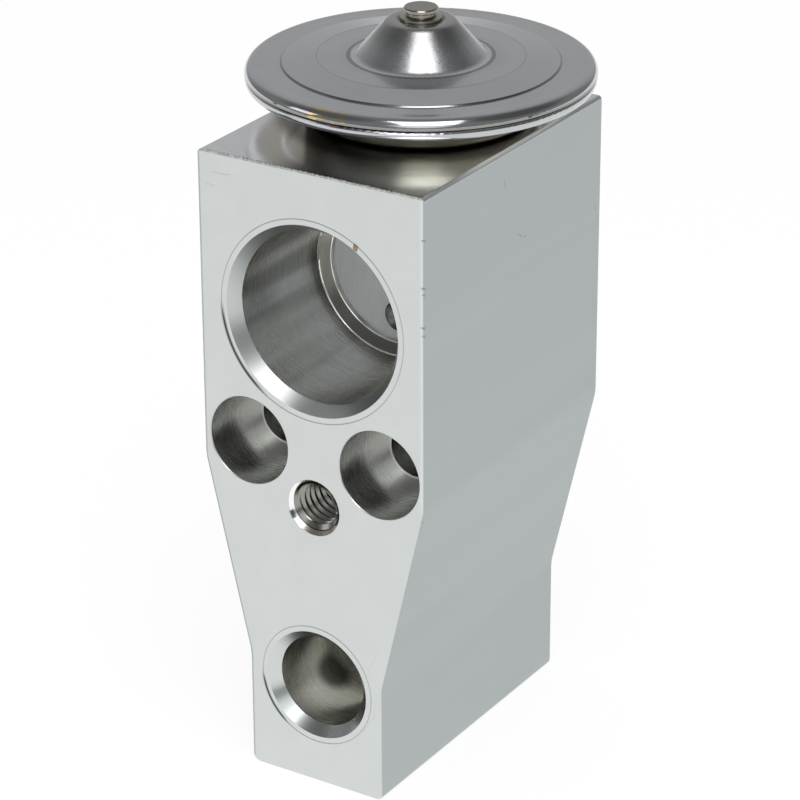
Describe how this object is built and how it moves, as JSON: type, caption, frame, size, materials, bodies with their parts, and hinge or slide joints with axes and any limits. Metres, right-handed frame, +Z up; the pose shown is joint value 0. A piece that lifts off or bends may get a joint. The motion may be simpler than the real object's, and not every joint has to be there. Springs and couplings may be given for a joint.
{
  "type": "thermostatic expansion valve",
  "caption": "Block-type refrigerant expansion valve: machined aluminium block with suction and liquid ports, bolt holes, and a round welded diaphragm head.",
  "frame": {"origin": "middle of the block's foot, in the plane that the part stands on", "axes": "+Z up to the power head, -Y out of the front face with the deep suction port and the liquid inlet, +X across to the right of that face"},
  "size_m": [0.0406, 0.0436, 0.0899],
  "materials": {
    "block_aluminium": "milled and extruded, bare",
    "head_steel": "pressed stainless steel, satin with a polished rim",
    "plug_steel": "turned steel with a heat-tinted weld bead",
    "inner_steel": "bright stainless steel",
    "rod_aluminium": "turned",
    "ball_steel": "polished",
    "brass": "turned",
    "seal_rubber": "moulded, matt"
  },
  "bodies": {
    "block": {"valve_body": "block_aluminium", "upper_cover": "head_steel", "lower_case": "head_steel", "neck_ring": "inner_steel", "diaphragm": "inner_steel", "charge_plug": "plug_steel", "head_seal": "seal_rubber", "rod_seal": "seal_rubber", "push_nut": "inner_steel", "valve_spring": "inner_steel"},
    "valve_train": {"sensing_rod": "rod_aluminium", "stopper_plate": "brass", "valve_rod": "inner_steel", "valve_ball": "ball_steel", "ball_carrier": "inner_steel", "damper_spring": "inner_steel"},
    "screw_slider": {"screw_seal": "seal_rubber"},
    "screw": {"adjusting_screw": "brass"}
  },
  "joints": [
    {"name": "valve_stroke", "type": "slide", "parent": "block", "child": "valve_train", "axis": [0, 0, -1], "range_m": [0, 0.0008], "stiffness_N_per_m": 600, "springref_m": -0.001, "deforming": ["valve_spring"]},
    {"name": "screw_slide", "type": "slide", "parent": "block", "child": "screw_slider", "axis": [0, 0, 1], "range_m": [-0.00099, 0.00099]},
    {"name": "screw_turn", "type": "hinge", "parent": "screw_slider", "child": "screw", "pos_m": [0, 0.0038, 0.003], "axis": [0, 0, 1], "range_deg": [-355, 355]}
  ],
  "couplings": [
    {"joint": "screw_turn", "follows": "screw_slide", "rad_per_m": 6283.2}
  ]
}
